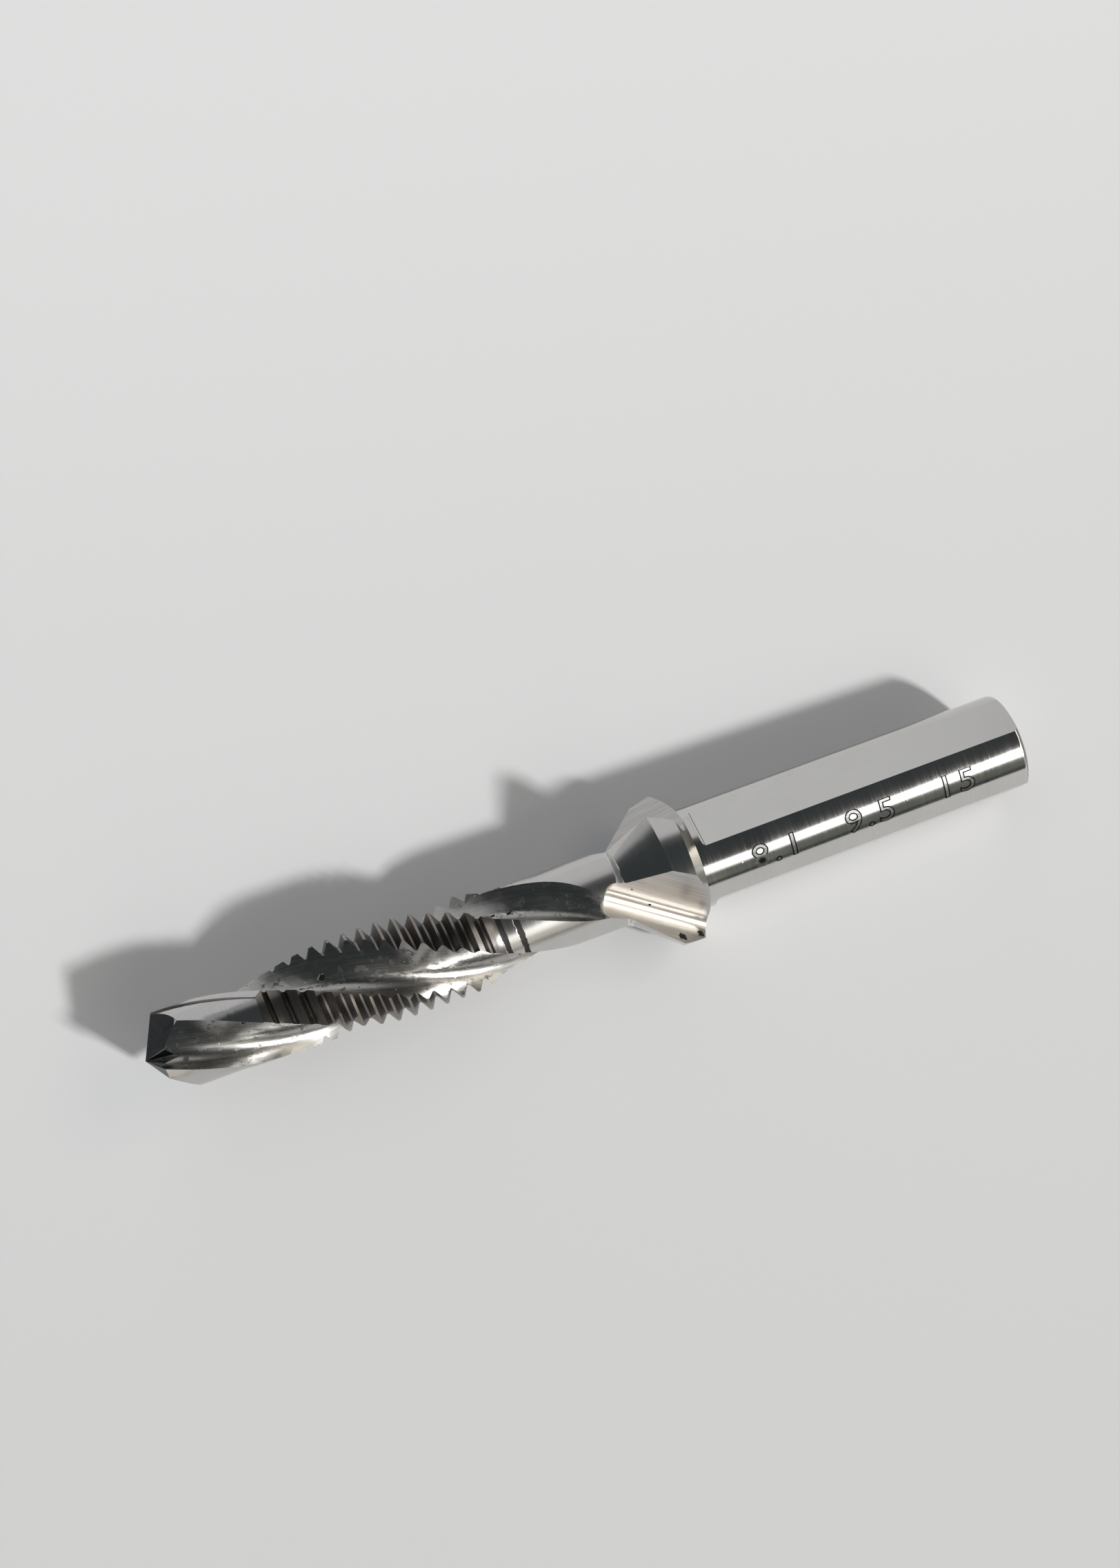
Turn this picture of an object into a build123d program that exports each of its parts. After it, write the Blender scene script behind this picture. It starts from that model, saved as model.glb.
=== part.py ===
from build123d import *
import os
from math import acos, atan2, cos, degrees, hypot, radians, sin, sqrt, tan

# Combination drill, tap and countersink bit, ground from one bar of high speed steel.
# The tool is drawn in millimetres, standing on its point with its axis along +Z and the
# tip of the point at the origin. Angles are counted round +Z, so right-hand flutes climb
# with them. At the end the tool is laid down on the surface that it rests on.

# Whole tool
overall_length = 88.0
flute_count = 3

# Drill point: behind each lip a narrow flank, then a steep one, then the thinning gash
drill_diameter = 8.1
point_angle = 132.5
first_flank_width = 16.0
first_flank_relief = 6.0
second_flank_width = 72.0
second_flank_relief = 28.0
thinning_relief = 39.0
margin_width = 0.75
body_clearance = 0.18

# Helical flutes, shared by the drill and the tap
flute_lead = 58.0
flute_rake = 6.0
flute_opening = 76.0
flute_root_radius = 1.5
web_diameter = 3.6
web_taper = 0.014
flute_wheel_radius = 15.0
flute_runout_start = 39.2
flute_steps = 10
flute_runout_steps = 4

# Tap with a 60 degree thread of sixteen turns to the inch
thread_major_diameter = 9.56
thread_pitch = 25.4 / 16
thread_turns = 16
thread_angle = 60.0
thread_root_diameter = 7.58
thread_root_flat = 0.20
thread_start = 11.5
thread_lead_start = 13.3
thread_full_start = 18.3
thread_full_end = 31.9
thread_back_taper = 2.6

# Neck and countersink
neck_diameter = 7.7
countersink_start = 46.75
countersink_diameter = 15.0
countersink_angle = 82.0
countersink_relief = 0.30
relief_lead_angle = 10.0
relief_start_gap = 0.25
neck_fillet = 0.6
collar_land = 2.25
shoulder_angle = 63.0

# Gashes between the wings of the countersink: a rake face, a round root and a floor
gash_hook = 20.0
gash_lead_angle = 22.6
gash_climb = 31.0
gash_floor_slope = 18.0
gash_root = 4.03
gash_corner_radius = 0.9
gash_start = 44.6

# Three-flat shank
shank_diameter = 9.9
flat_depth = 0.46
flat_start_gap = 0.6
flat_end_radius = 0.4
flat_phase = 9.5
shank_end_radius = 0.5

# How the cutting wheels overrun the steel, and how far they clear the thread crests
overrun = 2.0
crest_clearance = 0.15

# Two faces nearer than this touch
touching = 1e-6

# The wing of the countersink whose cutting corner the tool lies on
resting_wing = 1

# Values that follow from the sizes above
drill_radius = drill_diameter / 2
web_radius = web_diameter / 2
thread_radius = thread_major_diameter / 2
thread_root = thread_root_diameter / 2
neck_radius = neck_diameter / 2
collar_radius = countersink_diameter / 2
shank_radius = shank_diameter / 2
lip_rise = 1 / tan(radians(point_angle / 2))
land_spacing = 360 / flute_count
twist = 360 / flute_lead
cone_end = countersink_start + (collar_radius - neck_radius) / tan(radians(countersink_angle / 2))
collar_end = cone_end + collar_land
shank_start = collar_end + (collar_radius - shank_radius) / tan(radians(shoulder_angle))
flat_start = shank_start + flat_start_gap
flat_distance = shank_radius - flat_depth
outside = collar_radius + overrun


def polar(radius, angle):
    """Point at a radius and an angle in degrees, in the plane across the axis."""
    return Vector(radius * cos(radians(angle)), radius * sin(radians(angle)))


def edge_angle(height):
    """Angle of the first land's cutting edge at a height above the tip."""
    return twist * height


def turned_blank():
    """The bar as it leaves the lathe, before any flute or thread is cut."""
    profile = [
        (0, 0),
        (drill_radius, 0),
        (drill_radius, thread_lead_start),
        (thread_radius, thread_full_start),
        (thread_radius, thread_full_end),
        (neck_radius, thread_full_end + thread_back_taper),
        (neck_radius, countersink_start),
        (collar_radius, cone_end),
        (collar_radius, collar_end),
        (shank_radius, shank_start),
        (shank_radius, overall_length),
        (0, overall_length),
    ]
    section = make_face(Polyline(*profile, close=True))
    foot = section.vertices().sort_by_distance((neck_radius, countersink_start))[0]
    section = fillet(foot, neck_fillet)
    rim = section.vertices().sort_by_distance((shank_radius, overall_length))[0]
    return revolve(Plane.XZ * fillet(rim, shank_end_radius), Axis.Z)


def sector(inner, outer, start, end):
    """Flat sector of a ring, or of a full circle when the inner radius is zero."""
    middle = (start + end) / 2
    rim = ThreePointArc(polar(outer, start), polar(outer, middle), polar(outer, end))
    if inner == 0:
        sides = [Line((0, 0), polar(outer, start)), Line(polar(outer, end), (0, 0))]
        return make_face(Wire([sides[0], rim, sides[1]]))
    bore = ThreePointArc(polar(inner, end), polar(inner, middle), polar(inner, start))
    first = Line(polar(inner, start), polar(outer, start))
    last = Line(polar(outer, end), polar(inner, end))
    return make_face(Wire([first, rim, last, bore]))


def point_facet(start, width, start_rise, end_rise):
    """Steel ground off in front of one facet of the point.

    The facet is the plane through the tip and two lines that climb away from the axis, at
    the angles where the facet starts and ends, by the given rises for each unit of radius.
    """
    turn = radians(width)
    bearing = degrees(atan2(end_rise - start_rise * cos(turn), start_rise * sin(turn)))
    slope = start_rise / cos(radians(bearing))
    section = Pos(0, 0, -overrun) * sector(0, drill_diameter, start, start + width)
    wedge = extrude(section, overrun + slope * drill_diameter)
    fall = polar(slope, start + bearing)
    facet = Plane(origin=(0, 0, 0), z_dir=(-fall.X, -fall.Y, 1))
    return split(wedge, bisect_by=facet, keep=Keep.BOTTOM)


def point_grinding():
    """The two flanks behind each lip and the gash that thins the web up to the next lip."""
    thinning_width = land_spacing - first_flank_width - second_flank_width
    steps = [
        (first_flank_width, first_flank_relief),
        (second_flank_width, second_flank_relief),
        (thinning_width, thinning_relief),
    ]
    facets = []
    for lip in range(flute_count):
        angle = edge_angle(drill_radius * lip_rise) + lip * land_spacing
        rise = lip_rise
        for width, relief in steps:
            end_rise = rise + radians(width) * tan(radians(relief))
            facets.append(point_facet(angle, width, rise, end_rise))
            angle += width
            rise = end_rise
    return facets


def body_clearance_cut(number):
    """Thin layer ground off one land of the drill behind its margin."""
    start = degrees(margin_width / drill_radius)
    end = land_spacing - flute_opening / 2
    section = sector(drill_radius - body_clearance, outside, start, end)
    height = overrun + thread_start
    turned = Location((0, 0, -overrun), (0, 0, edge_angle(-overrun) + number * land_spacing)) * section
    path = (0, 0, height)
    return Solid.extrude_linear_with_rotation(turned.face(), (0, 0, -overrun), path, twist * height)


def thread_groove(turn):
    """One turn of the right-hand groove of the tap, run at one root diameter."""
    foot = thread_start + turn * thread_pitch
    half_root = thread_root_flat / 2
    depth = thread_radius + crest_clearance - thread_root
    half_mouth = half_root + depth * tan(radians(thread_angle / 2))
    vee = Polyline(
        (thread_root, -half_root),
        (thread_root + depth, -half_mouth),
        (thread_root + depth, half_mouth),
        (thread_root, half_root),
        close=True,
    )
    start = Plane(origin=(0, 0, foot), x_dir=(1, 0, 0), z_dir=(0, -1, 0))
    path = Helix(thread_pitch, thread_pitch, thread_root, center=(0, 0, foot))
    return sweep(start * make_face(vee), path, is_frenet=True)


def flute_lift(height):
    """How far the flute wheel stands off the web: web taper, then the run-out."""
    lift = web_taper * max(height, 0)
    beyond = height - flute_runout_start
    if beyond > 0:
        lift += flute_wheel_radius - sqrt(flute_wheel_radius ** 2 - beyond ** 2)
    return lift


def flute_exit():
    """Height at which the flute wheel has left the neck."""
    rise = neck_radius + crest_clearance - web_radius - flute_lift(flute_runout_start)
    return flute_runout_start + sqrt(2 * flute_wheel_radius * rise - rise ** 2)


def flute_section(height):
    """Section of one flute: a raked face, a round root and a straight heel wall."""
    rake = radians(flute_rake)
    out = Vector(cos(rake), -sin(rake))
    into = Vector(-sin(rake), -cos(rake))
    lip = Vector(drill_radius, 0)
    root_sum = web_radius + flute_root_radius
    across = flute_root_radius - drill_radius * sin(rake)
    centre = out * sqrt(root_sum ** 2 - across ** 2) + into * across
    face_foot = centre - into * flute_root_radius
    bottom = centre * (web_radius / root_sum)
    heel = polar(drill_radius, -flute_opening)
    reach = heel - centre
    swing = degrees(acos(flute_root_radius / reach.length))
    wall_foot = centre + polar(flute_root_radius, degrees(atan2(reach.Y, reach.X)) - swing)
    wall_out = (heel - wall_foot).normalized()
    tip = lip + out * (outside - drill_radius)
    tail = heel + wall_out * (outside - drill_radius)
    outline = [
        Line(tip, face_foot),
        ThreePointArc(face_foot, bottom, wall_foot),
        Line(wall_foot, tail),
        Line(tail, tip),
    ]
    section = make_face(Wire(outline))
    lifted = Location(out * flute_lift(height)) * section
    return Location((0, 0, height), (0, 0, edge_angle(height))) * lifted


def flute():
    """One helical flute from the point to where its wheel runs out of the neck."""
    step = (flute_runout_start + overrun) / flute_steps
    runout_step = (flute_exit() - flute_runout_start) / flute_runout_steps
    heights = [-overrun + step * i for i in range(flute_steps)]
    heights += [flute_runout_start + runout_step * i for i in range(flute_runout_steps + 1)]
    return loft([flute_section(height) for height in heights])


def rake_normal():
    """Normal of the rake face of a wing at angle zero, pointing into the gash."""
    hook = tan(radians(gash_hook))
    lean = tan(radians(gash_lead_angle)) + hook * tan(radians(gash_climb))
    return Vector(-hook, -1, lean).normalized()


def gash_travel():
    """Direction in which the gash of a wing at angle zero is ground."""
    return Vector(tan(radians(gash_climb)), tan(radians(gash_lead_angle)), 1).normalized()


def floor_normal():
    """Normal of the floor of the gash, pointing out of the steel."""
    slope = radians(gash_floor_slope)
    rake = rake_normal()
    square = gash_travel().cross(rake)
    return square * cos(slope) - rake * sin(slope)


def gash_corner(height):
    """Point of the sharp corner under the round root of the gash, at a height."""
    travel = gash_travel()
    corner = Vector(gash_root, tan(radians(gash_hook)) * (collar_radius - gash_root), cone_end)
    return corner + travel * ((height - cone_end) / travel.Z)


def crossing_angles(normal, point, radius, height):
    """Two angles at which a plane crosses a circle of the tool at a height."""
    level = normal.dot(point) - normal.Z * height
    middle = degrees(atan2(normal.Y, normal.X))
    half = degrees(acos(level / (radius * hypot(normal.X, normal.Y))))
    return middle - half, middle + half


def wing_angle(number):
    """Angle of the cutting corner of a wing.

    The rake face is turned so that it meets a flute's cutting edge where the cone starts.
    """
    cutting_corner = Vector(collar_radius, 0, cone_end)
    crossing = crossing_angles(rake_normal(), cutting_corner, neck_radius, countersink_start)
    return edge_angle(countersink_start) - crossing[1] + number * land_spacing


def wing_gash(number):
    """The gash in front of one wing, with a round root and a round end."""
    travel = gash_travel()
    length = (flat_start + overrun - gash_start) / travel.Z
    rise = countersink_diameter * tan(radians(gash_floor_slope))
    height = rise + outside
    corners = [(0, 0), (countersink_diameter, rise), (countersink_diameter, height), (0, height)]
    outline = Polyline(*corners, close=True)
    frame = Plane(origin=gash_corner(gash_start), x_dir=rake_normal(), z_dir=travel)
    slot = extrude(make_face(outline), length)
    side = slot.faces().sort_by(Axis.X)[0]
    end = slot.faces().sort_by(Axis.Z)[0]
    floor = slot.faces().sort_by(Axis.Y)[0]
    root_edges = [edge for edge in slot.edges() if shared(edge, side, floor, end)]
    rounded = fillet(root_edges, gash_corner_radius)
    return Rot(0, 0, wing_angle(number)) * (frame.location * rounded)


def shared(edge, *faces):
    """Whether an edge lies between two of the given faces."""
    centre = edge.center()
    return sum(face.distance_to(centre) < touching for face in faces) == 2


def cone_relief(number):
    """Layer ground off the cone of one wing, deeper towards its heel.

    What stays is a cone of the same angle, set off square to the cutting edge.
    """
    slope = tan(radians(countersink_angle / 2))
    start = countersink_start + relief_start_gap / 2 / slope
    height = cone_end + overrun - start
    foot_radius = neck_radius + (start - countersink_start) * slope
    ring = sector(neck_radius + relief_start_gap, outside, -relief_lead_angle, land_spacing / 2)
    band = extrude(Pos(0, 0, start) * ring, height)
    centred = (Align.CENTER, Align.CENTER, Align.MIN)
    cone = Cone(foot_radius, foot_radius + height * slope, height, align=centred)
    return Rot(0, 0, wing_angle(number)) * (band - Pos(0, -countersink_relief, start) * cone)


def shank_flat(number):
    """One of the flats that the jaws of a chuck hold."""
    length = overall_length + overrun - flat_start
    depth = flat_depth + overrun
    block = Box(depth, 2 * shank_radius, length, align=(Align.MIN, Align.CENTER, Align.MIN))
    placed = Pos(flat_distance, 0, flat_start) * block
    inner = placed.edges().filter_by(Axis.Y).group_by(Axis.Z)[0].sort_by(Axis.X)[0]
    rounded = fillet(inner, flat_end_radius)
    return Rot(0, 0, wing_angle(number) + flat_phase) * rounded


def resting_attitude():
    """Roll and tilt in degrees of the tool when it lies at rest.

    It lies on the cutting corner of one wing, on the back corner of the heel of the
    wing before it, and on the end of the shank.
    """
    cutting_angle = radians(wing_angle(resting_wing))
    crossing = crossing_angles(floor_normal(), gash_corner(cone_end), collar_radius, collar_end)
    heel_angle = radians(wing_angle(resting_wing) + crossing[0])
    end = overall_length - shank_end_radius
    cutting_arm = end - cone_end
    heel_arm = end - collar_end
    across = heel_arm * cos(cutting_angle) - cutting_arm * cos(heel_angle)
    along = heel_arm * sin(cutting_angle) - cutting_arm * sin(heel_angle)
    target = shank_radius * (heel_arm - cutting_arm) / collar_radius
    swing = acos(target / hypot(across, along))
    choices = [atan2(along, across) + swing, atan2(along, across) - swing]
    roll = max(choices, key=lambda choice: cos(choice - cutting_angle))
    drop = collar_radius * cos(roll - cutting_angle) - shank_radius
    return degrees(roll), degrees(atan2(drop, cutting_arm))


def finished_tool():
    """The tool standing on its point, with every grinding operation done."""
    numbers = range(flute_count)
    steel = turned_blank() - point_grinding()
    steel -= [cone_relief(number) for number in numbers]
    steel -= [wing_gash(number) for number in numbers]
    steel -= [shank_flat(number) for number in numbers]
    steel -= [body_clearance_cut(number) for number in numbers]
    steel -= [thread_groove(turn) for turn in range(thread_turns)]
    one_flute = flute()
    return steel - [Rot(0, 0, number * land_spacing) * one_flute for number in numbers]


def laid_down(tool):
    """The tool as it lies: its axis along +X, centred over the origin, on the plane Z = 0."""
    roll, tilt = resting_attitude()
    lying = Rot(0, 90 + tilt, 0) * (Rot(0, 0, -roll) * tool)
    box = lying.bounding_box()
    centre = box.center()
    return Pos(-centre.X, -centre.Y, -box.min.Z) * lying


os.makedirs("parts", exist_ok=True)
drill_tap_bit = laid_down(finished_tool())
export_step(drill_tap_bit, "parts/drill_tap_bit.step")
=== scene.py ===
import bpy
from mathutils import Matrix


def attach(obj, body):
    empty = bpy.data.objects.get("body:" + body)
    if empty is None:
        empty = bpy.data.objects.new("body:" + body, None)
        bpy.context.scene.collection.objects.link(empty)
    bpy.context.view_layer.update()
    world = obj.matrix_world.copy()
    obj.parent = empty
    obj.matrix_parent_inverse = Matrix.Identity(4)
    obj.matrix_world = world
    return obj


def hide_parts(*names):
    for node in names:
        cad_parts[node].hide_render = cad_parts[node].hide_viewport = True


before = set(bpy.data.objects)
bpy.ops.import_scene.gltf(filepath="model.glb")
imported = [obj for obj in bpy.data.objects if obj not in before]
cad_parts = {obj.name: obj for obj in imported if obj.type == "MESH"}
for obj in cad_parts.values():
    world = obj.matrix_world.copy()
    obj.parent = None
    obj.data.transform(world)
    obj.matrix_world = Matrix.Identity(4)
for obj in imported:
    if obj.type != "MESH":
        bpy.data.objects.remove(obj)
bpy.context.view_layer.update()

import logging
from dataclasses import dataclass
from enum import Enum, auto
from math import cos, degrees, hypot, pi, radians, sin

import bpy
from mathutils import Matrix, Vector

logging.basicConfig(level=logging.INFO, format="%(message)s")
log = logging.getLogger("tap bit")

Colour = tuple[float, float, float]

MM = 0.001
MICROMETRE = 0.001 * MM
TOOL_NODE = "drill_tap_bit"


@dataclass(frozen=True)
class ToolAxis:
    """Where the tool's own axes lie in the frame: tip at the origin, axis along +Z.

    The tip is in metres. The roll about the axis and the tilt off the floor are in degrees.
    """

    tip: Vector = Vector((-44.0535, 0.0033, 8.3608)) * MM
    roll: float = 37.5263
    tilt: float = 2.2362

    def rotation(self) -> Matrix:
        """Turn from the tool's own axes to the frame's."""
        lean = Matrix.Rotation(radians(90 + self.tilt), 3, "Y")
        return lean @ Matrix.Rotation(radians(-self.roll), 3, "Z")

    def own(self, point: Vector) -> Vector:
        """A point of the frame, in metres, in the tool's own axes."""
        return self.rotation().transposed() @ (point - self.tip)

    def own_direction(self, direction: Vector) -> Vector:
        """A direction of the frame in the tool's own axes."""
        return self.rotation().transposed() @ direction

    def framed(self, point: Vector) -> Vector:
        """A point in the tool's own axes, in metres, as a point of the frame."""
        return self.rotation() @ point + self.tip


@dataclass(frozen=True)
class ToolSizes:
    """Sizes of the tool in millimetres and degrees, along its axis from the tip and across it."""

    flutes: int = 3
    flute_lead: float = 58.0
    land_radius: float = 3.87
    drill_end: float = 11.5
    thread_end: float = 34.5
    thread_root: float = 3.79
    pitch: float = 25.4 / 16
    groove_foot: float = 11.5
    neck_end: float = 46.75
    cone_end: float = 50.95
    collar_end: float = 53.2
    gash_from: float = -138.0
    gash_travel: Vector = Vector((0.567, -0.162, 0.808))
    gash_floor: Vector = Vector((0.388, -0.811, -0.437))
    shank_start: float = 54.5
    shank_end: float = 88.0
    shank_radius: float = 4.95
    flat_distance: float = 4.49
    end_rounding: float = 0.5


class Region(Enum):
    """Surfaces of the tool that were ground or polished in different ways."""

    POINT = auto()
    THINNING = auto()
    LAND = auto()
    STEP = auto()
    FLUTE = auto()
    THREAD = auto()
    CREST = auto()
    NECK = auto()
    FILLET = auto()
    CONE = auto()
    GASH = auto()
    ROOT = auto()
    COLLAR = auto()
    SHOULDER = auto()
    SHANK = auto()
    FLAT = auto()
    END = auto()


class Grain(Enum):
    """Direction in which a surface was ground, and so how its fine lines run."""

    AROUND = auto()
    ALONG = auto()
    FLUTE = auto()
    GASH = auto()
    FLANK = auto()


@dataclass(frozen=True)
class GrainRates:
    """How often the fine lines change along themselves, in a radian or a millimetre.

    The two radii turn an angle into millimetres on the shank and in a flute. The slant is
    how a line across a point flank climbs with its height and with its way round.
    """

    around: float = 0.6
    along: float = 0.25
    along_flute: float = 0.2
    along_gash: float = 0.12
    flank_out: float = 0.4
    flank_up: float = 0.2
    slant: tuple[float, float] = (0.9, 0.5)
    shank_radius: float = 4.0
    flute_radius: float = 3.0


@dataclass(frozen=True)
class Noise:
    """A soft noise: its changes in a millimetre, its layers, and how strong the fine ones are."""

    scale: float
    detail: float = 2.0
    rough: float = 0.5
    middle: float = 0.5


@dataclass(frozen=True)
class Mark:
    """What a mark does to the steel: the share of its own tint, and added roughness and depth."""

    cover: float
    rougher: float
    deep: float = 0.0


@dataclass(frozen=True)
class Dots:
    """Round dots: the distance between their places and their radius, in millimetres.

    The edge is soft over a share of the radius. The choice is how sharply a place has a dot or none.
    """

    cell: float
    radius: float
    edge: float = 0.5
    choice: float = 0.02


@dataclass(frozen=True)
class Chip:
    """A small dark pit, at a place in the tool's own axes and so large, in millimetres.

    Its edge is ragged and soft by shares of its size.
    """

    place: tuple[float, float, float]
    size: float
    fineness: float = 1.2
    ragged: float = 1.6
    edge: float = 0.3


@dataclass(frozen=True)
class PaintedGrooveShade:
    """Painted shade along the bottom of the thread's groove: from, to and half width, in millimetres.

    It fades out over a short way along the tool. Its edge is ragged and soft by shares of a pitch.
    """

    start: float
    end: float
    half: float
    fade: float = 0.5
    ragged: float = 0.16
    edge: float = 0.06


RATES = GrainRates()
LINES = Noise(1.0)
CLOUDS = Noise(0.35, 3.0)
STAINS = Noise(1.1, 4.0, 0.65)
GROOVE_EDGE = Noise(2.5, 3.0)
SPECKS = Dots(1.0, 0.07)
# Painted glints: white dots that stand in for small sparkles of light on the steel.
PAINTED_GLINTS = Dots(0.6, 0.055)
STAIN_MARK = Mark(0.75, 0.25)
PAINTED_GLINT_MARK = Mark(1.0, 0.35)
# Dark pits and specks, and the painted shade in the thread's groove, share this mark.
DIRT_AND_SHADE_MARK = Mark(0.95, 0.3, 0.03)


class Value:
    """A number or vector socket that takes part in Python expressions."""

    def __init__(self, graph: "Graph", socket: bpy.types.NodeSocket) -> None:
        """Wraps a socket of a graph."""
        self.graph = graph
        self.socket = socket

    def _math(self, operation: str, *others: "Value | float") -> "Value":
        """Adds one Math node with this value first."""
        inputs = dict(enumerate((self, *others)))
        return self.graph.node("ShaderNodeMath", {"operation": operation}, inputs)

    def __add__(self, other: "Value | float") -> "Value":
        """Sum."""
        return self._math("ADD", other)

    __radd__ = __add__

    def __mul__(self, other: "Value | float") -> "Value":
        """Product."""
        return self._math("MULTIPLY", other)

    __rmul__ = __mul__

    def __sub__(self, other: "Value | float") -> "Value":
        """Difference."""
        return self._math("SUBTRACT", other)

    def __rsub__(self, other: float) -> "Value":
        """Difference from a number."""
        return self * -1 + other

    def __truediv__(self, other: "Value | float") -> "Value":
        """Quotient."""
        return self._math("DIVIDE", other)

    def __abs__(self) -> "Value":
        """Size without sign."""
        return self._math("ABSOLUTE")

    def __pow__(self, power: float) -> "Value":
        """Power."""
        return self._math("POWER", power)

    def sine(self) -> "Value":
        """Sine of an angle in radians."""
        return self._math("SINE")

    def cosine(self) -> "Value":
        """Cosine of an angle in radians."""
        return self._math("COSINE")

    def arcsine(self) -> "Value":
        """Angle in radians whose sine this is."""
        return self._math("ARCSINE")

    def arctangent(self, first: "Value") -> "Value":
        """Angle in radians of the point with these first and second coordinates."""
        return self._math("ARCTAN2", first)

    def wrapped(self, period: float) -> "Value":
        """What is left over a whole number of periods."""
        return self._math("FLOORED_MODULO", period)

    def above(self, edge: float, width: float) -> "Value":
        """Soft step from 0 to 1 as the value passes an edge.

        Args:
            edge: the value at the middle of the step.
            width: how wide the step is.

        Returns:
            The step, from 0 to 1.
        """
        ranges = {"Value": self, "From Min": edge - width / 2, "From Max": edge + width / 2}
        settings = {"interpolation_type": "SMOOTHSTEP"}
        return self.graph.node("ShaderNodeMapRange", settings, ranges)

    def below(self, edge: float, width: float) -> "Value":
        """Soft step from 1 to 0 as the value passes an edge."""
        return 1 - self.above(edge, width)

    def within(self, ends: tuple[float, float], width: float) -> "Value":
        """1 between two ends and 0 outside them, with a soft step at each."""
        return self.above(ends[0], width) * self.below(ends[1], width)

    def other(self, output: str | int) -> "Value":
        """Another output of the node that gives this value."""
        return Value(self.graph, self.socket.node.outputs[output])

    def parts(self) -> list["Value"]:
        """The three coordinates of a vector."""
        first = self.graph.node("ShaderNodeSeparateXYZ", inputs={0: self})
        return [first.other(i) for i in range(3)]


class Graph:
    """The node tree of one material or of the world."""

    def __init__(self, tree: bpy.types.NodeTree) -> None:
        """Empties a tree and keeps it."""
        self.tree = tree
        tree.nodes.clear()

    def node(self, kind: str, settings: dict | None = None, inputs: dict | None = None,
             output: str | int = 0) -> Value:
        """Adds one node.

        Args:
            kind: the node's type.
            settings: its own properties, set before its sockets.
            inputs: values or links by the name or number of the socket.
            output: the output to return, by name or number.

        Returns:
            One output of the node.
        """
        made = self._add(kind, settings or {}, inputs or {})
        return Value(self, made.outputs[output])

    def end(self, kind: str, shader: Value) -> None:
        """Adds the output node that a shader ends in."""
        self._add(kind, {}, {"Surface": shader})

    def _add(self, kind: str, settings: dict, inputs: dict) -> bpy.types.Node:
        """Adds one node.

        Args:
            kind: the node's type.
            settings: its own properties, set before its sockets.
            inputs: values or links by the name or number of the socket.

        Returns:
            The node.
        """
        made = self.tree.nodes.new(kind)
        for name, value in settings.items():
            setattr(made, name, value)
        for name, value in inputs.items():
            if isinstance(value, Value):
                self.tree.links.new(value.socket, made.inputs[name])
            else:
                made.inputs[name].default_value = value
        return made

    def mix(self, factor: "Value | float", low: "Value | Colour", high: "Value | Colour",
            blend: str = "MIX") -> Value:
        """Mixes two colours.

        Args:
            factor: share of the second colour.
            low: first colour, a value or three numbers.
            high: second colour, a value or three numbers.
            blend: how the second colour acts on the first.

        Returns:
            The mixed colour.
        """
        colours = [c if isinstance(c, Value) else (*c, 1.0) for c in (low, high)]
        inputs = {0: factor, 6: colours[0], 7: colours[1]}
        return self.node("ShaderNodeMix", {"data_type": "RGBA", "blend_type": blend}, inputs, 2)

    def noise(self, place: Value, kind: Noise) -> Value:
        """Soft noise at a place, from 0 to 1."""
        inputs = {"Vector": place, "Scale": kind.scale, "Detail": kind.detail, "Roughness": kind.rough}
        return self.node("ShaderNodeTexNoise", inputs=inputs)

    def ripple(self, place: Value, kind: Noise) -> Value:
        """Soft noise at a place, round 0."""
        return self.noise(place, kind) - kind.middle

    def join(self, x: "Value | float", y: "Value | float", z: "Value | float") -> Value:
        """A vector from three numbers."""
        return self.node("ShaderNodeCombineXYZ", inputs={0: x, 1: y, 2: z})


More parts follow.
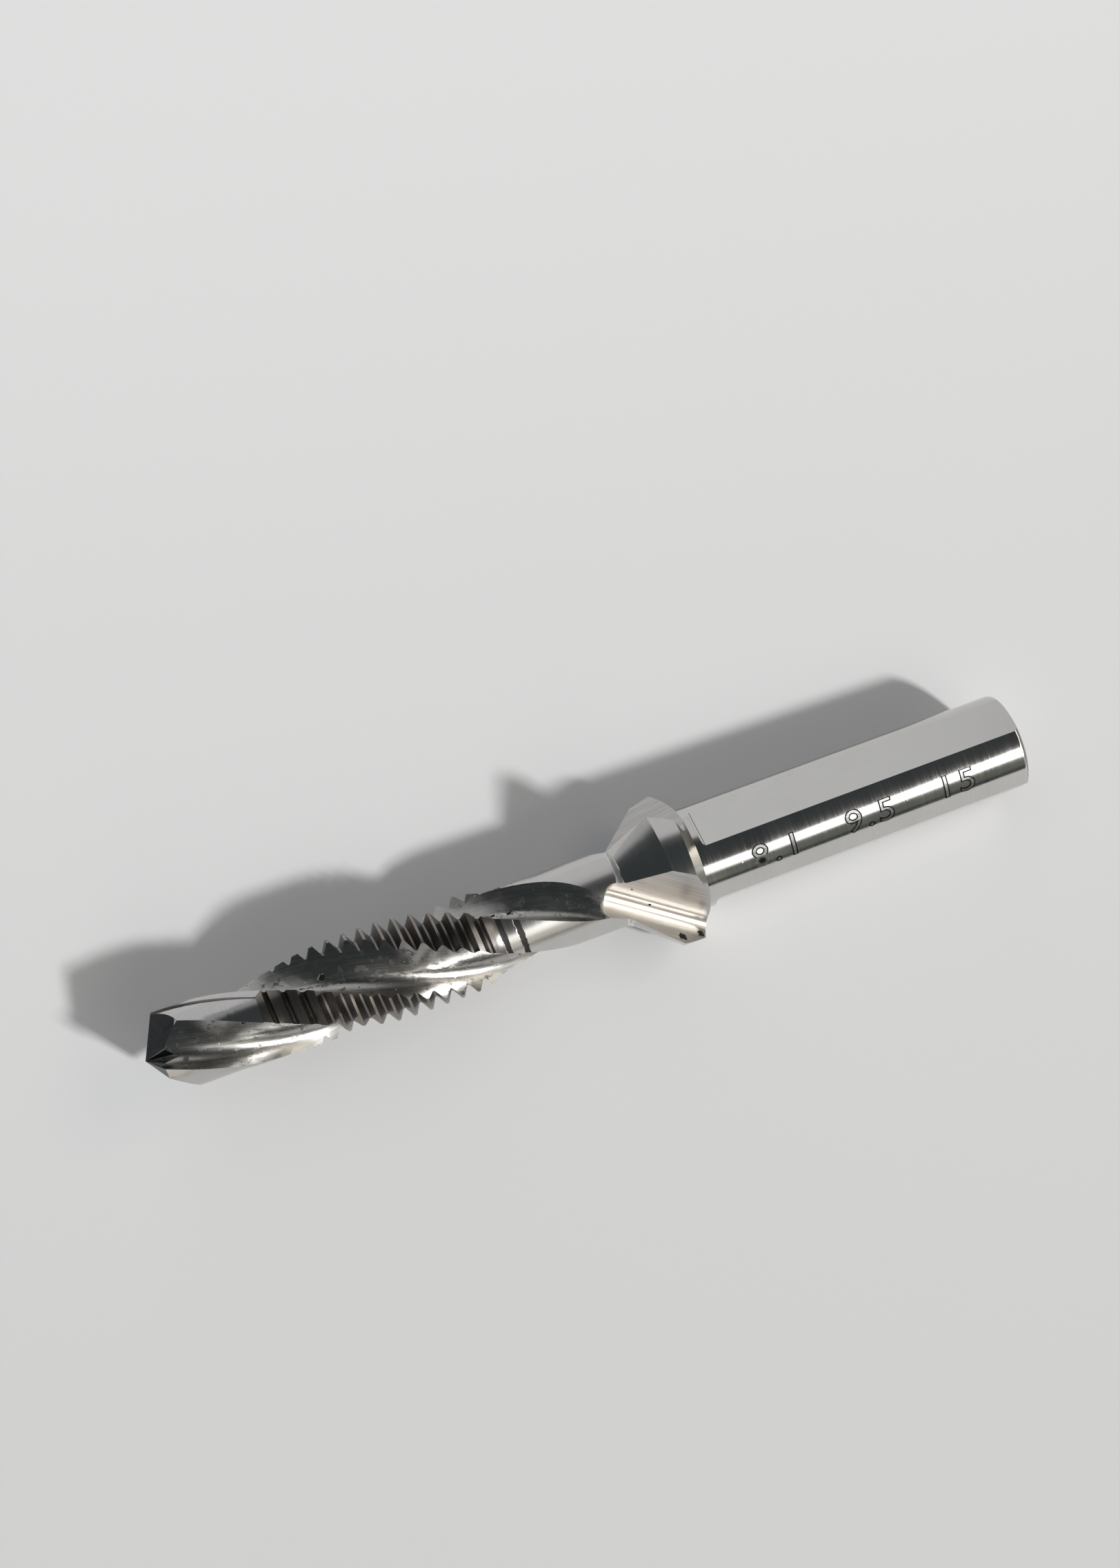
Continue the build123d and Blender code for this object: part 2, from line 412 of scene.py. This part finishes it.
class OwnPlace:
    """Where a point of a surface lies in the tool's own axes, in millimetres."""

    def __init__(self, graph: Graph, axis: ToolAxis, sizes: ToolSizes) -> None:
        """Works the place out from Object coordinates.

        Args:
            graph: the material's graph.
            axis: the tool's own axes.
            sizes: the tool's sizes.
        """
        self.graph = graph
        self.sizes = sizes
        place = graph.node("ShaderNodeTexCoord", output="Object")
        self.place = graph.node("ShaderNodeMapping", {"vector_type": "TEXTURE"}, {
            "Vector": place, "Location": axis.tip, "Rotation": axis.rotation().to_euler(),
            "Scale": (MM, MM, MM)})
        x, y, self.height = self.place.parts()
        self.radius = (x * x + y * y) ** 0.5
        self.turn = y.arctangent(x)

    def along_gash(self) -> list[Value]:
        """Where the point lies beside the root of its gash.

        Returns:
            Its three coordinates, the last along the root.
        """
        sizes = self.sizes
        low = radians(sizes.gash_from)
        turn = (self.turn - low).wrapped(2 * pi / sizes.flutes) + low
        folded = self.graph.join(self.radius * turn.cosine(), self.radius * turn.sine(), self.height)
        lean = sizes.gash_travel.rotation_difference(Vector((0, 0, 1))).to_euler()
        return self.graph.node("ShaderNodeMapping", {"vector_type": "POINT"},
                               {"Vector": folded, "Rotation": lean}).parts()

    def groove(self, groove_shade: PaintedGrooveShade) -> Value:
        """Painted shade at the bottom of the thread's groove.

        Args:
            groove_shade: the part of the groove that is painted with shade.

        Returns:
            1 inside the painted shade and 0 outside.
        """
        sizes = self.sizes
        turns = (self.height - sizes.groove_foot) / sizes.pitch - self.turn / (2 * pi)
        beside = abs((turns + 0.5).wrapped(1.0) - 0.5)
        inside = self.height.within((groove_shade.start, groove_shade.end), groove_shade.fade)
        ragged = self.graph.ripple(self.place, GROOVE_EDGE) * groove_shade.ragged
        return (beside + ragged).below(groove_shade.half / sizes.pitch, groove_shade.edge) * inside

    def dots(self, kind: Dots, share: float) -> Value:
        """Small round dots strewn over the surface.

        Args:
            kind: their size and how far apart their places are.
            share: how many of the places have one, from 0 to 1.

        Returns:
            1 inside a dot and 0 outside.
        """
        reach = kind.radius / kind.cell
        near = self.graph.node("ShaderNodeTexVoronoi", inputs={"Vector": self.place, "Scale": 1 / kind.cell})
        chosen = near.other("Color").above(1 - share, kind.choice)
        return near.below(reach, reach * kind.edge) * chosen

    def pit(self, chip: Chip) -> Value:
        """A chip with a ragged edge.

        Args:
            chip: its place and size.

        Returns:
            1 inside the chip and 0 outside.
        """
        away = self.graph.node("ShaderNodeVectorMath", {"operation": "DISTANCE"},
                               {0: self.place, 1: chip.place}, "Value")
        uneven = self.graph.ripple(self.place, Noise(chip.fineness / chip.size, 3.0))
        ragged = uneven * chip.size * chip.ragged
        return (away + ragged).below(chip.size, chip.size * chip.edge)


@dataclass(frozen=True)
class SteelFinish:
    """Finish of one ground surface of the tool.

    The tints are linear colours. The lines are fine marks of the grinding wheel, so many to
    a millimetre, that roughen the surface and tilt it by a small depth in micrometres.
    Streak and cloud are how far the lines and broad clouds change the tone. Stain, specks
    and painted glints say how much of the surface has them, from 0 to 1; the glints are white dots of
    painted highlight.
    """

    name: str
    tint: Colour
    roughness: float
    grain: Grain = Grain.AROUND
    lines: float = 9.0
    depth: float = 0.6
    streak: float = 0.12
    cloud: float = 0.12
    stain: float = 0.0
    specks: float = 0.10
    painted_glints: float = 0.0
    # Painted shade along the bottom of the thread's groove.
    groove_shade: PaintedGrooveShade | None = None
    chips: tuple[Chip, ...] = ()
    # Tint of the dark pits and specks and of the painted groove shade.
    dirt_and_shade_tint: Colour = (0.02, 0.017, 0.015)
    stain_tint: Colour = (0.10, 0.085, 0.07)
    # White base colour of the painted glints, a painted highlight.
    painted_glint_tint: Colour = (1.0, 1.0, 1.0)
    line_roughness: float = 0.10
    cloud_roughness: float = 0.06
    stain_level: float = 0.66
    stain_edge: float = 0.10

    def material(self, axis: ToolAxis, sizes: ToolSizes) -> bpy.types.Material:
        """Makes the material.

        Args:
            axis: the tool's own axes, which the marks follow.
            sizes: the tool's sizes.

        Returns:
            The finished material.
        """
        made = bpy.data.materials.new(self.name)
        made.use_nodes = True
        graph = Graph(made.node_tree)
        own = OwnPlace(graph, axis, sizes)
        lines = self._fine_lines(graph, own)
        uneven = lines - LINES.middle
        clouds = graph.ripple(own.place, CLOUDS)
        tone = 1 + uneven * self.streak + clouds * self.cloud
        colour = graph.mix(1.0, self.tint, graph.join(tone, tone, tone), "MULTIPLY")
        rough = self.roughness + uneven * self.line_roughness + clouds * self.cloud_roughness
        height = lines * (self.depth * MICROMETRE / MM)
        for mask, mark, tint in self._marks(graph, own):
            colour = graph.mix(mask * mark.cover, colour, tint)
            rough = rough + mask * mark.rougher
            if mark.deep:
                height = height - mask * mark.deep
        bump = graph.node("ShaderNodeBump", inputs={"Strength": 1.0, "Distance": MM, "Height": height})
        shader = graph.node("ShaderNodeBsdfPrincipled", inputs={
            "Base Color": colour, "Metallic": 1.0, "Roughness": rough, "Normal": bump})
        graph.end("ShaderNodeOutputMaterial", shader)
        return made

    def _marks(self, graph: Graph, own: OwnPlace) -> list[tuple[Value, Mark, Colour]]:
        """Stains, painted glints, dark pits and specks, and painted groove shade on the surface, in the
        order in which they cover it.

        Args:
            graph: the material's graph.
            own: the place in the tool's own axes.

        Returns:
            For each, a mask from 0 to 1, what it does to the steel, and its tint.
        """
        marks = []
        if self.stain > 0:
            stains = graph.noise(own.place, STAINS).above(self.stain_level - self.stain, self.stain_edge)
            marks.append((stains, STAIN_MARK, self.stain_tint))
        # Painted glints: white dots of painted highlight.
        if self.painted_glints > 0:
            marks.append((own.dots(PAINTED_GLINTS, self.painted_glints), PAINTED_GLINT_MARK, self.painted_glint_tint))
        # Dark pits and specks, then the painted shade in the thread's groove.
        dirt_and_shade = [own.pit(chip) for chip in self.chips]
        if self.specks > 0:
            dirt_and_shade.append(own.dots(SPECKS, self.specks))
        if self.groove_shade:
            dirt_and_shade.append(own.groove(self.groove_shade))
        return marks + [(mask, DIRT_AND_SHADE_MARK, self.dirt_and_shade_tint) for mask in dirt_and_shade]

    def _fine_lines(self, graph: Graph, own: OwnPlace) -> Value:
        """Fine lines of the grinding wheel.

        Args:
            graph: the material's graph.
            own: the place in the tool's own axes.

        Returns:
            The lines, from 0 to 1.
        """
        lines, turn, radius, height = self.lines, own.turn, own.radius, own.height
        if self.grain is Grain.AROUND:
            place = (turn * RATES.around, radius * lines, height * lines)
        elif self.grain is Grain.ALONG:
            place = (turn * lines * RATES.shank_radius, radius * lines, height * RATES.along)
        elif self.grain is Grain.FLUTE:
            around = turn - height * (2 * pi / own.sizes.flute_lead)
            place = (around * lines * RATES.flute_radius, radius * lines, height * RATES.along_flute)
        elif self.grain is Grain.GASH:
            across, beside, along = own.along_gash()
            place = (across * lines, beside * lines, along * RATES.along_gash)
        else:
            slant = height * RATES.slant[0] + turn * radius * RATES.slant[1]
            place = (slant * lines, radius * RATES.flank_out, height * RATES.flank_up)
        return graph.noise(graph.join(*place), LINES)


@dataclass(frozen=True)
class FaceLimits:
    """What tells the ground surfaces of the tool apart.

    Lengths, such as a reach or a height, are in millimetres. The others are shares of a
    face's unit normal: outward from the axis, around it, and back along it to the shank.
    """

    touching: float = 0.03
    steep: float = 0.9
    gash_reach: float = 2.2
    gash_square: float = 0.99
    root_around: float = 0.16
    root_outward: float = 0.25
    shoulder_outward: float = 0.3
    shoulder_back: float = 0.1
    fillet_reach: float = 0.32
    point_height: float = 5.0
    point_back: float = -0.3
    flank_back: float = -0.80
    flank_around: float = 0.3
    neck_reach: float = 0.1
    neck_outward: float = 0.99
    thread_around: float = 0.12
    crest_outward: float = 0.95
    crest_height: float = 0.2
    end_back: float = 0.3
    shank_outward: float = 0.9995
    shank_height: float = 0.2


@dataclass
class TapBit:
    """The tool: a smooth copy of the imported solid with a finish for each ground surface."""

    axis: ToolAxis
    sizes: ToolSizes
    limits: FaceLimits = FaceLimits()
    smooth_angle: float = 24.0
    merge_distance: float = 0.002 * MM

    def build(self) -> bpy.types.Object:
        """Makes the piece and dresses it.

        Returns:
            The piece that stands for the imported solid.
        """
        piece = self._merged_copy()
        finishes = self._finishes()
        order = list(finishes)
        for region in order:
            piece.data.materials.append(finishes[region].material(self.axis, self.sizes))
        counts = dict.fromkeys(order, 0)
        for face in piece.data.polygons:
            corners = [self.axis.own(piece.data.vertices[i].co) / MM for i in face.vertices]
            inner = min(hypot(corner.x, corner.y) for corner in corners)
            region = self._region(face.center, face.normal, inner)
            face.material_index = order.index(region)
            counts[region] += 1
        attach(piece, "root")
        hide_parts(TOOL_NODE)
        log.info("tool: %s", {region.name: count for region, count in counts.items()})
        return piece

    def _merged_copy(self) -> bpy.types.Object:
        """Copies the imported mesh, merges its loose triangles and shades it smooth.

        Returns:
            The copy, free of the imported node's parent, notes and materials.
        """
        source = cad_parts[TOOL_NODE]
        bpy.ops.object.select_all(action="DESELECT")
        piece = source.copy()
        piece.data = source.data.copy()
        piece.parent = None
        for key in list(piece.keys()):
            del piece[key]
        piece.name = "tool"
        piece.data.name = "tool"
        piece.data.materials.clear()
        bpy.context.scene.collection.objects.link(piece)
        bpy.context.view_layer.objects.active = piece
        piece.select_set(True)
        bpy.ops.object.mode_set(mode="EDIT")
        bpy.ops.mesh.select_all(action="SELECT")
        bpy.ops.mesh.remove_doubles(threshold=self.merge_distance)
        bpy.ops.object.mode_set(mode="OBJECT")
        if piece.data.has_custom_normals:
            bpy.ops.mesh.customdata_custom_splitnormals_clear()
        bpy.ops.object.shade_smooth_by_angle(angle=radians(self.smooth_angle))
        weights = piece.modifiers.new("weights", "WEIGHTED_NORMAL")
        weights.mode = "FACE_AREA_WITH_ANGLE"
        weights.keep_sharp = True
        bpy.ops.object.modifier_apply(modifier="weights")
        return piece

    def _finishes(self) -> dict[Region, SteelFinish]:
        """Lists the finish of each ground surface.

        Returns:
            The finishes by region, in the order of the piece's materials.
        """
        steel = (0.60, 0.59, 0.575)
        flute_pits = (
            Chip((-2.27, -0.31, 17.73), 0.30),
            Chip((-2.36, -2.76, 9.66), 0.20),
        )
        gash_pits = (
            Chip((4.48, -4.97, 50.99), 0.42),
            Chip((5.5, -4.3, 52.95), 0.35),
            Chip((1.50, -2.44, 49.10), 0.12),
            Chip((-1.30, -2.88, 47.68), 0.12),
        )
        return {
            Region.POINT: SteelFinish(
                "point flank", (0.062, 0.067, 0.072), 0.30, Grain.FLANK, lines=5, depth=2.4, streak=1.2),
            Region.THINNING: SteelFinish(
                "point thinning", (0.80, 0.77, 0.76), 0.38, Grain.ALONG, lines=6, depth=1.4, streak=0.3),
            Region.LAND: SteelFinish(
                "drill land", (0.57, 0.56, 0.55), 0.16, Grain.AROUND, lines=9, depth=0.5),
            Region.STEP: SteelFinish(
                "drill land step", steel, 0.55, Grain.ALONG, lines=9, depth=0.5),
            # The flute's tint is darker than the steel's: painted shade, which dims the floor that the flute
            # mirrors.
            Region.FLUTE: SteelFinish(
                "flute", (0.41, 0.405, 0.39), 0.25, Grain.FLUTE, lines=5, depth=4.0, streak=0.6,
                cloud=0.35, stain=0.05, specks=0.12, painted_glints=0.25, chips=flute_pits),
            # Painted shade in the front turns of the thread's groove.
            Region.THREAD: SteelFinish(
                "thread flank", (0.19, 0.178, 0.17), 0.32, Grain.AROUND, lines=9, depth=1.2, streak=0.4,
                groove_shade=PaintedGrooveShade(11.0, 16.5, 0.14)),
            Region.CREST: SteelFinish(
                "thread crest", (0.29, 0.26, 0.23), 0.24, Grain.AROUND, lines=9, depth=0.6),
            # Painted shade in the last turns of the thread's groove, on the neck.
            Region.NECK: SteelFinish(
                "neck", steel, 0.24, Grain.AROUND, lines=12, depth=0.9, groove_shade=PaintedGrooveShade(33.6, 37.3, 0.27)),
            Region.FILLET: SteelFinish(
                "neck fillet", (0.80, 0.79, 0.77), 0.48, Grain.FLANK, lines=8, depth=2.0, streak=0.3),
            Region.CONE: SteelFinish(
                "countersink cone", steel, 0.16, Grain.AROUND, lines=10, depth=0.5, specks=0.2),
            Region.GASH: SteelFinish(
                "gash floor", (0.53, 0.515, 0.50), 0.30, Grain.GASH, lines=6, depth=0.6, streak=0.7,
                chips=gash_pits),
            # The gash root's warm tan tint is painted reflection of warm surroundings, laid over the steel's
            # own grey.
            Region.ROOT: SteelFinish(
                "gash root", (0.45, 0.425, 0.39), 0.36, Grain.GASH, lines=6, depth=0.35, streak=0.8,
                chips=gash_pits),
            Region.COLLAR: SteelFinish(
                "collar", steel, 0.15, Grain.AROUND, lines=10, depth=0.5),
            Region.SHOULDER: SteelFinish(
                "shoulder", steel, 0.22, Grain.AROUND, lines=10, depth=0.6),
            # The shank carries a few painted glints.
            Region.SHANK: SteelFinish(
                "shank", steel, 0.12, Grain.AROUND, lines=10, depth=0.45, specks=0.03, painted_glints=0.12),
            Region.FLAT: SteelFinish(
                "shank flat", (0.66, 0.655, 0.64), 0.19, Grain.ALONG, lines=8, depth=0.15, streak=0.05,
                specks=0.12),
            Region.END: SteelFinish(
                "shank end", (0.36, 0.35, 0.34), 0.24, Grain.AROUND, lines=8, depth=0.8),
        }

    def _region(self, centre: Vector, normal: Vector, inner: float) -> Region:
        """Tells which surface a face belongs to.

        Args:
            centre: the face's centre in the frame.
            normal: its normal in the frame.
            inner: the smallest radius of its corners, in millimetres.

        Returns:
            The region.
        """
        sizes, limits = self.sizes, self.limits
        own = self.axis.own(centre) / MM
        facing = self.axis.own_direction(normal)
        radius = hypot(own.x, own.y)
        off_axis = radius > limits.touching
        outward = Vector((own.x, own.y, 0)).normalized() if off_axis else Vector((1, 0, 0))
        radial = facing.dot(outward)
        side = facing.dot(Vector((-outward.y, outward.x, 0)))
        if own.z > sizes.shank_start - limits.touching:
            return self._shank_region(own.z, radius, radial, facing)
        if own.z > sizes.neck_end - limits.gash_reach:
            if self._faces_gash(facing):
                return Region.GASH
            if abs(side) > limits.root_around or radial < limits.root_outward:
                return Region.ROOT
        sloping = radial > limits.shoulder_outward and facing.z > limits.shoulder_back
        if own.z > sizes.collar_end and sloping:
            return Region.SHOULDER
        if own.z > sizes.cone_end and radial > limits.steep:
            return Region.COLLAR
        if own.z > sizes.neck_end + limits.fillet_reach:
            return Region.CONE
        if own.z > sizes.neck_end - limits.fillet_reach:
            return Region.FILLET
        through_tip = abs(facing.dot(own)) < limits.touching
        if through_tip and own.z < limits.point_height and facing.z < limits.point_back:
            flank = facing.z < limits.flank_back or side > limits.flank_around
            return Region.POINT if flank else Region.THINNING
        on_land = inner > sizes.land_radius - limits.touching
        if own.z < sizes.drill_end + limits.touching and on_land:
            return Region.LAND if radial > limits.steep else Region.STEP
        if own.z > sizes.thread_end - limits.neck_reach and radial > limits.neck_outward:
            return Region.NECK
        if sizes.drill_end < own.z < sizes.thread_end and abs(side) < limits.thread_around:
            high = radius > sizes.thread_root + limits.crest_height
            return Region.CREST if high and radial > limits.crest_outward else Region.THREAD
        return Region.FLUTE

    def _faces_gash(self, facing: Vector) -> bool:
        """Tells whether a face is square to the floor of one of the gashes.

        Args:
            facing: the face's normal in the tool's own axes.

        Returns:
            Whether it faces as one of the floors does.
        """
        sizes = self.sizes
        turns = [Matrix.Rotation(2 * pi * i / sizes.flutes, 3, "Z") for i in range(sizes.flutes)]
        return any((turn @ facing).dot(sizes.gash_floor) > self.limits.gash_square for turn in turns)

    def _shank_region(self, height: float, radius: float, radial: float, facing: Vector) -> Region:
        """Tells which surface of the shank a face belongs to.

        Args:
            height: how far the face's centre is from the tip, in millimetres.
            radius: how far it is from the axis, in millimetres.
            radial: the outward share of the face's normal.
            facing: the face's normal in the tool's own axes.

        Returns:
            The region.
        """
        sizes, limits = self.sizes, self.limits
        if height > sizes.shank_end - sizes.end_rounding and facing.z > limits.end_back:
            return Region.END
        if radial > limits.shank_outward and radius > sizes.flat_distance + limits.shank_height:
            return Region.SHANK
        return Region.FLAT


@dataclass(frozen=True)
class StrokeLayer:
    """One layer of the numbers: how much wider its strokes are and how far proud, in millimetres."""

    name: str
    wider: float
    proud: float
    finish: SteelFinish


@dataclass
class SizeMarks:
    """Plain numbers on the shank: the diameters that the tool drills, taps and countersinks.

    They start at the foot, so far from the tip, at a phase in degrees round the axis. Sizes
    are in millimetres. A dark rim, painted shade for the walls of a cut stroke, lies under a lighter bottom.
    """

    axis: ToolAxis
    sizes: ToolSizes
    words: str = "8.1   9.5   15"
    foot: float = 59.2
    phase: float = -102.3
    letter_size: float = 3.7
    letter_gap: float = 1.18
    merge_distance: float = 0.001
    cuts: int = 3
    lift: float = 0.6
    layers: tuple[StrokeLayer, ...] = (
        # The dark rim is painted shade that stands in for the shaded walls of the cut strokes.
        StrokeLayer("size_marks_painted_shade_rim", 0.09, 0.010, SteelFinish(
            "mark rim", (0.010, 0.0096, 0.0094), 0.5, specks=0.0)),
        StrokeLayer("size_marks", -0.05, 0.020, SteelFinish(
            "mark bottom", (0.14, 0.137, 0.135), 0.34, Grain.ALONG, lines=9, depth=2.0, streak=0.6,
            specks=0.0)),
    )

    def build(self, tool: bpy.types.Object) -> list[bpy.types.Object]:
        """Makes the layers of the engraved strokes.

        Args:
            tool: the piece that the numbers lie on.

        Returns:
            One piece for each layer.
        """
        pieces = [self._strokes(layer, tool) for layer in self.layers]
        for piece in pieces:
            log.info("%s: %s, %d faces", piece.name, self.words, len(piece.data.polygons))
        return pieces

    def _strokes(self, layer: StrokeLayer, tool: bpy.types.Object) -> bpy.types.Object:
        """Lays one layer of the numbers on the shank.

        Args:
            layer: the layer.
            tool: the piece that it lies on.

        Returns:
            The piece.
        """
        bpy.ops.object.select_all(action="DESELECT")
        bpy.ops.object.text_add(location=(0, 0, 0))
        piece = bpy.context.active_object
        piece.name = layer.name
        piece.data.body = self.words
        piece.data.size = self.letter_size
        piece.data.offset = layer.wider
        piece.data.space_character = self.letter_gap
        piece.data.align_y = "CENTER"
        bpy.ops.object.convert(target="MESH")
        bpy.ops.object.mode_set(mode="EDIT")
        bpy.ops.mesh.select_all(action="SELECT")
        bpy.ops.mesh.remove_doubles(threshold=self.merge_distance)
        bpy.ops.mesh.subdivide(number_cuts=self.cuts)
        bpy.ops.object.mode_set(mode="OBJECT")
        piece.matrix_world = self._place()
        bpy.ops.object.transform_apply(location=True, rotation=True, scale=True)
        wrap = piece.modifiers.new("wrap", "SHRINKWRAP")
        wrap.target = tool
        wrap.wrap_method = "NEAREST_SURFACEPOINT"
        wrap.wrap_mode = "ABOVE_SURFACE"
        wrap.offset = layer.proud * MM
        bpy.ops.object.modifier_apply(modifier="wrap")
        bpy.ops.object.shade_smooth()
        piece.data.materials.append(layer.finish.material(self.axis, self.sizes))
        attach(piece, "root")
        return piece

    def _place(self) -> Matrix:
        """Finds the numbers' own plane: along the shank and facing out, a little off it.

        Returns:
            The place, turn and scale of the plane in the frame.
        """
        outward = Vector((cos(radians(self.phase)), sin(radians(self.phase)), 0))
        along = Vector((0, 0, 1))
        middle = outward * (self.sizes.shank_radius + self.lift) + along * self.foot
        turn = Matrix((along, outward.cross(along), outward)).transposed()
        own = Matrix.LocRotScale(None, turn.to_quaternion(), Vector((MM, MM, MM)))
        place = self.axis.rotation().to_4x4() @ own
        place.translation = self.axis.framed(middle * MM)
        return place


@dataclass(frozen=True)
class Patch:
    """A soft-edged part of the surroundings, in degrees of azimuth and elevation."""

    name: str
    azimuth: tuple[float, float]
    elevation: tuple[float, float]
    colour: Colour
    blur: float

    def share(self, azimuth: Value, elevation: Value) -> Value:
        """How much of a direction the patch covers, from 0 to 1."""
        return azimuth.within(self.azimuth, self.blur) * elevation.within(self.elevation, self.blur)


@dataclass(frozen=True)
class Lamp:
    """A rectangular soft light that faces the tool, with lengths in metres and power in watts."""

    name: str
    towards: tuple[float, float, float]
    distance: float
    size: tuple[float, float]
    power: float
    tint: Colour = (1.0, 1.0, 1.0)
    mirrored: bool = True


@dataclass
class Studio:
    """Pale floor, soft light and the camera of the photograph.

    The floor, its fade and the camera are in metres, the lens and sensor in millimetres.
    """

    floor_size: float = 3.0
    # The floor is painted lighter further back: painted light that stands in for more light falling there.
    floor_near: Colour = (0.655, 0.655, 0.652)
    floor_far: Colour = (0.86, 0.86, 0.86)
    floor_middle: float = 0.03
    floor_fade: float = 0.30
    floor_roughness: float = 0.7
    floor_gloss: float = 0.2
    dim: Colour = (0.045, 0.052, 0.055)
    patches: tuple[Patch, ...] = (
        Patch("dark edge of the ceiling", (-88, 64), (50, 62), (0.05, 0.048, 0.046), 14),
        Patch("wall on the right", (-70, 64), (-20, 32), (0.32, 0.30, 0.27), 10),
        Patch("green strip in front", (-82, -66), (-8, 26), (0.13, 0.15, 0.125), 5),
        Patch("post in front", (-97, -81), (-6, 28), (0.66, 0.62, 0.55), 5),
        Patch("dim corner behind", (28, 62), (20, 66), (0.17, 0.16, 0.15), 14),
        Patch("low wall behind", (116, 160), (-30, 9), (0.50, 0.50, 0.51), 8),
        Patch("tall wall behind", (60, 113), (-30, 62), (0.36, 0.36, 0.37), 10),
        Patch("pale pillar behind", (61, 80), (-30, 58), (0.68, 0.68, 0.68), 8),
        Patch("pale wall behind", (70, 107), (-30, 45), (0.66, 0.66, 0.67), 10),
        Patch("warm wall on the right", (12, 50), (-30, 12), (0.78, 0.74, 0.67), 8),
        Patch("dark sill in front", (-88, -62), (-8, 8), (0.05, 0.05, 0.045), 5),
        Patch("bright post in front", (-97, -81), (8, 34), (0.85, 0.81, 0.73), 5),
        Patch("window in front", (-92, -72), (28, 50), (1.3, 1.26, 1.17), 5),
        Patch("window on the right", (-58, -4), (31, 43), (1.0, 1.0, 0.93), 5),
        Patch("sky above the window", (-62, 13), (40, 47), (1.9, 1.8, 1.62), 4),
        Patch("bright sky in front", (-75, -56), (30, 46.5), (2.7, 2.67, 2.58), 4),
        Patch("warm sky on the right", (-14, 12), (35, 52), (2.4, 2.2, 1.9), 5),
    )
    lamps: tuple[Lamp, ...] = (
        Lamp("key lamp", (0.47, -0.612, 0.60), distance=3.0, size=(0.24, 0.24), power=76.0),
        Lamp("fill lamp", (-0.3, 0.3, 1.0), distance=1.5, size=(1.6, 1.6), power=3.5,
             tint=(0.86, 0.9, 1.0), mirrored=False),
    )
    lens: float = 66.48
    sensor: float = 36.0
    nearest: float = 0.01
    camera_place: Vector = Vector((-18.25, -49.85, 196.57)) * MM
    look: Vector = Vector((0.098506, 0.306398, -0.946793))
    up: Vector = Vector((0.349947, 0.879986, 0.321187))

    def build(self) -> None:
        """Makes the floor, the surroundings, the lights and the camera."""
        self._floor()
        self._world()
        self._lights()
        self._camera()
        bpy.context.scene.view_settings.view_transform = "Standard"

    def _floor(self) -> None:
        """A plain pale floor under the tool, painted a little lighter further back as painted light."""
        bpy.ops.object.select_all(action="DESELECT")
        bpy.ops.mesh.primitive_plane_add(size=self.floor_size, location=(0, 0, 0))
        floor = bpy.context.active_object
        floor.name = "floor"
        made = bpy.data.materials.new("floor")
        made.use_nodes = True
        graph = Graph(made.node_tree)
        _, back, _ = graph.node("ShaderNodeTexCoord", output="Object").parts()
        # Painted light: the floor's tone is lighter further back.
        further = back.above(self.floor_middle, self.floor_fade)
        shader = graph.node("ShaderNodeBsdfPrincipled", inputs={
            "Base Color": graph.mix(further, self.floor_near, self.floor_far),
            "Roughness": self.floor_roughness, "Specular IOR Level": self.floor_gloss})
        graph.end("ShaderNodeOutputMaterial", shader)
        floor.data.materials.append(made)
        log.info("floor: %.1f m wide", self.floor_size)

    def _world(self) -> None:
        """Surroundings that the steel mirrors: dark overhead, windows in front, a pale wall behind."""
        world = bpy.data.worlds.new("surroundings")
        bpy.context.scene.world = world
        world.use_nodes = True
        graph = Graph(world.node_tree)
        x, y, z = graph.node("ShaderNodeTexCoord", output="Generated").parts()
        azimuth = y.arctangent(x) * degrees(1)
        elevation = z.arcsine() * degrees(1)
        tone: Value | Colour = self.dim
        for patch in self.patches:
            tone = graph.mix(patch.share(azimuth, elevation), tone, patch.colour)
        background = graph.node("ShaderNodeBackground", inputs={"Color": tone, "Strength": 1.0})
        graph.end("ShaderNodeOutputWorld", background)
        log.info("surroundings: %s", ", ".join(patch.name for patch in self.patches))

    def _lights(self) -> None:
        """The key lamp that casts the shadow and the soft one that lightens it."""
        for lamp in self.lamps:
            data = bpy.data.lights.new(lamp.name, "AREA")
            data.shape = "RECTANGLE"
            data.size, data.size_y = lamp.size
            data.energy = lamp.power
            data.color = lamp.tint
            light = bpy.data.objects.new(lamp.name, data)
            light.visible_glossy = lamp.mirrored
            bpy.context.scene.collection.objects.link(light)
            light.location = Vector(lamp.towards).normalized() * lamp.distance
            light.rotation_euler = light.location.to_track_quat("Z", "Y").to_euler()
            log.info("%s: %.1f W", lamp.name, lamp.power)

    def _camera(self) -> None:
        """The camera at the photograph's viewing angle."""
        data = bpy.data.cameras.new("camera")
        data.sensor_fit = "HORIZONTAL"
        data.sensor_width = self.sensor
        data.lens = self.lens
        data.clip_start = self.nearest
        camera = bpy.data.objects.new("camera", data)
        bpy.context.scene.collection.objects.link(camera)
        right = self.look.cross(self.up).normalized()
        up = right.cross(self.look).normalized()
        turn = Matrix((right, up, -self.look.normalized())).transposed()
        camera.matrix_world = Matrix.Translation(self.camera_place) @ turn.to_4x4()
        bpy.context.scene.camera = camera
        log.info("camera: lens %.2f mm", self.lens)


def main() -> None:
    """Builds the tool and its surroundings."""
    Studio().build()
    axis = ToolAxis()
    sizes = ToolSizes()
    tool = TapBit(axis, sizes).build()
    SizeMarks(axis, sizes).build(tool)


if __name__ == "__main__":
    main()
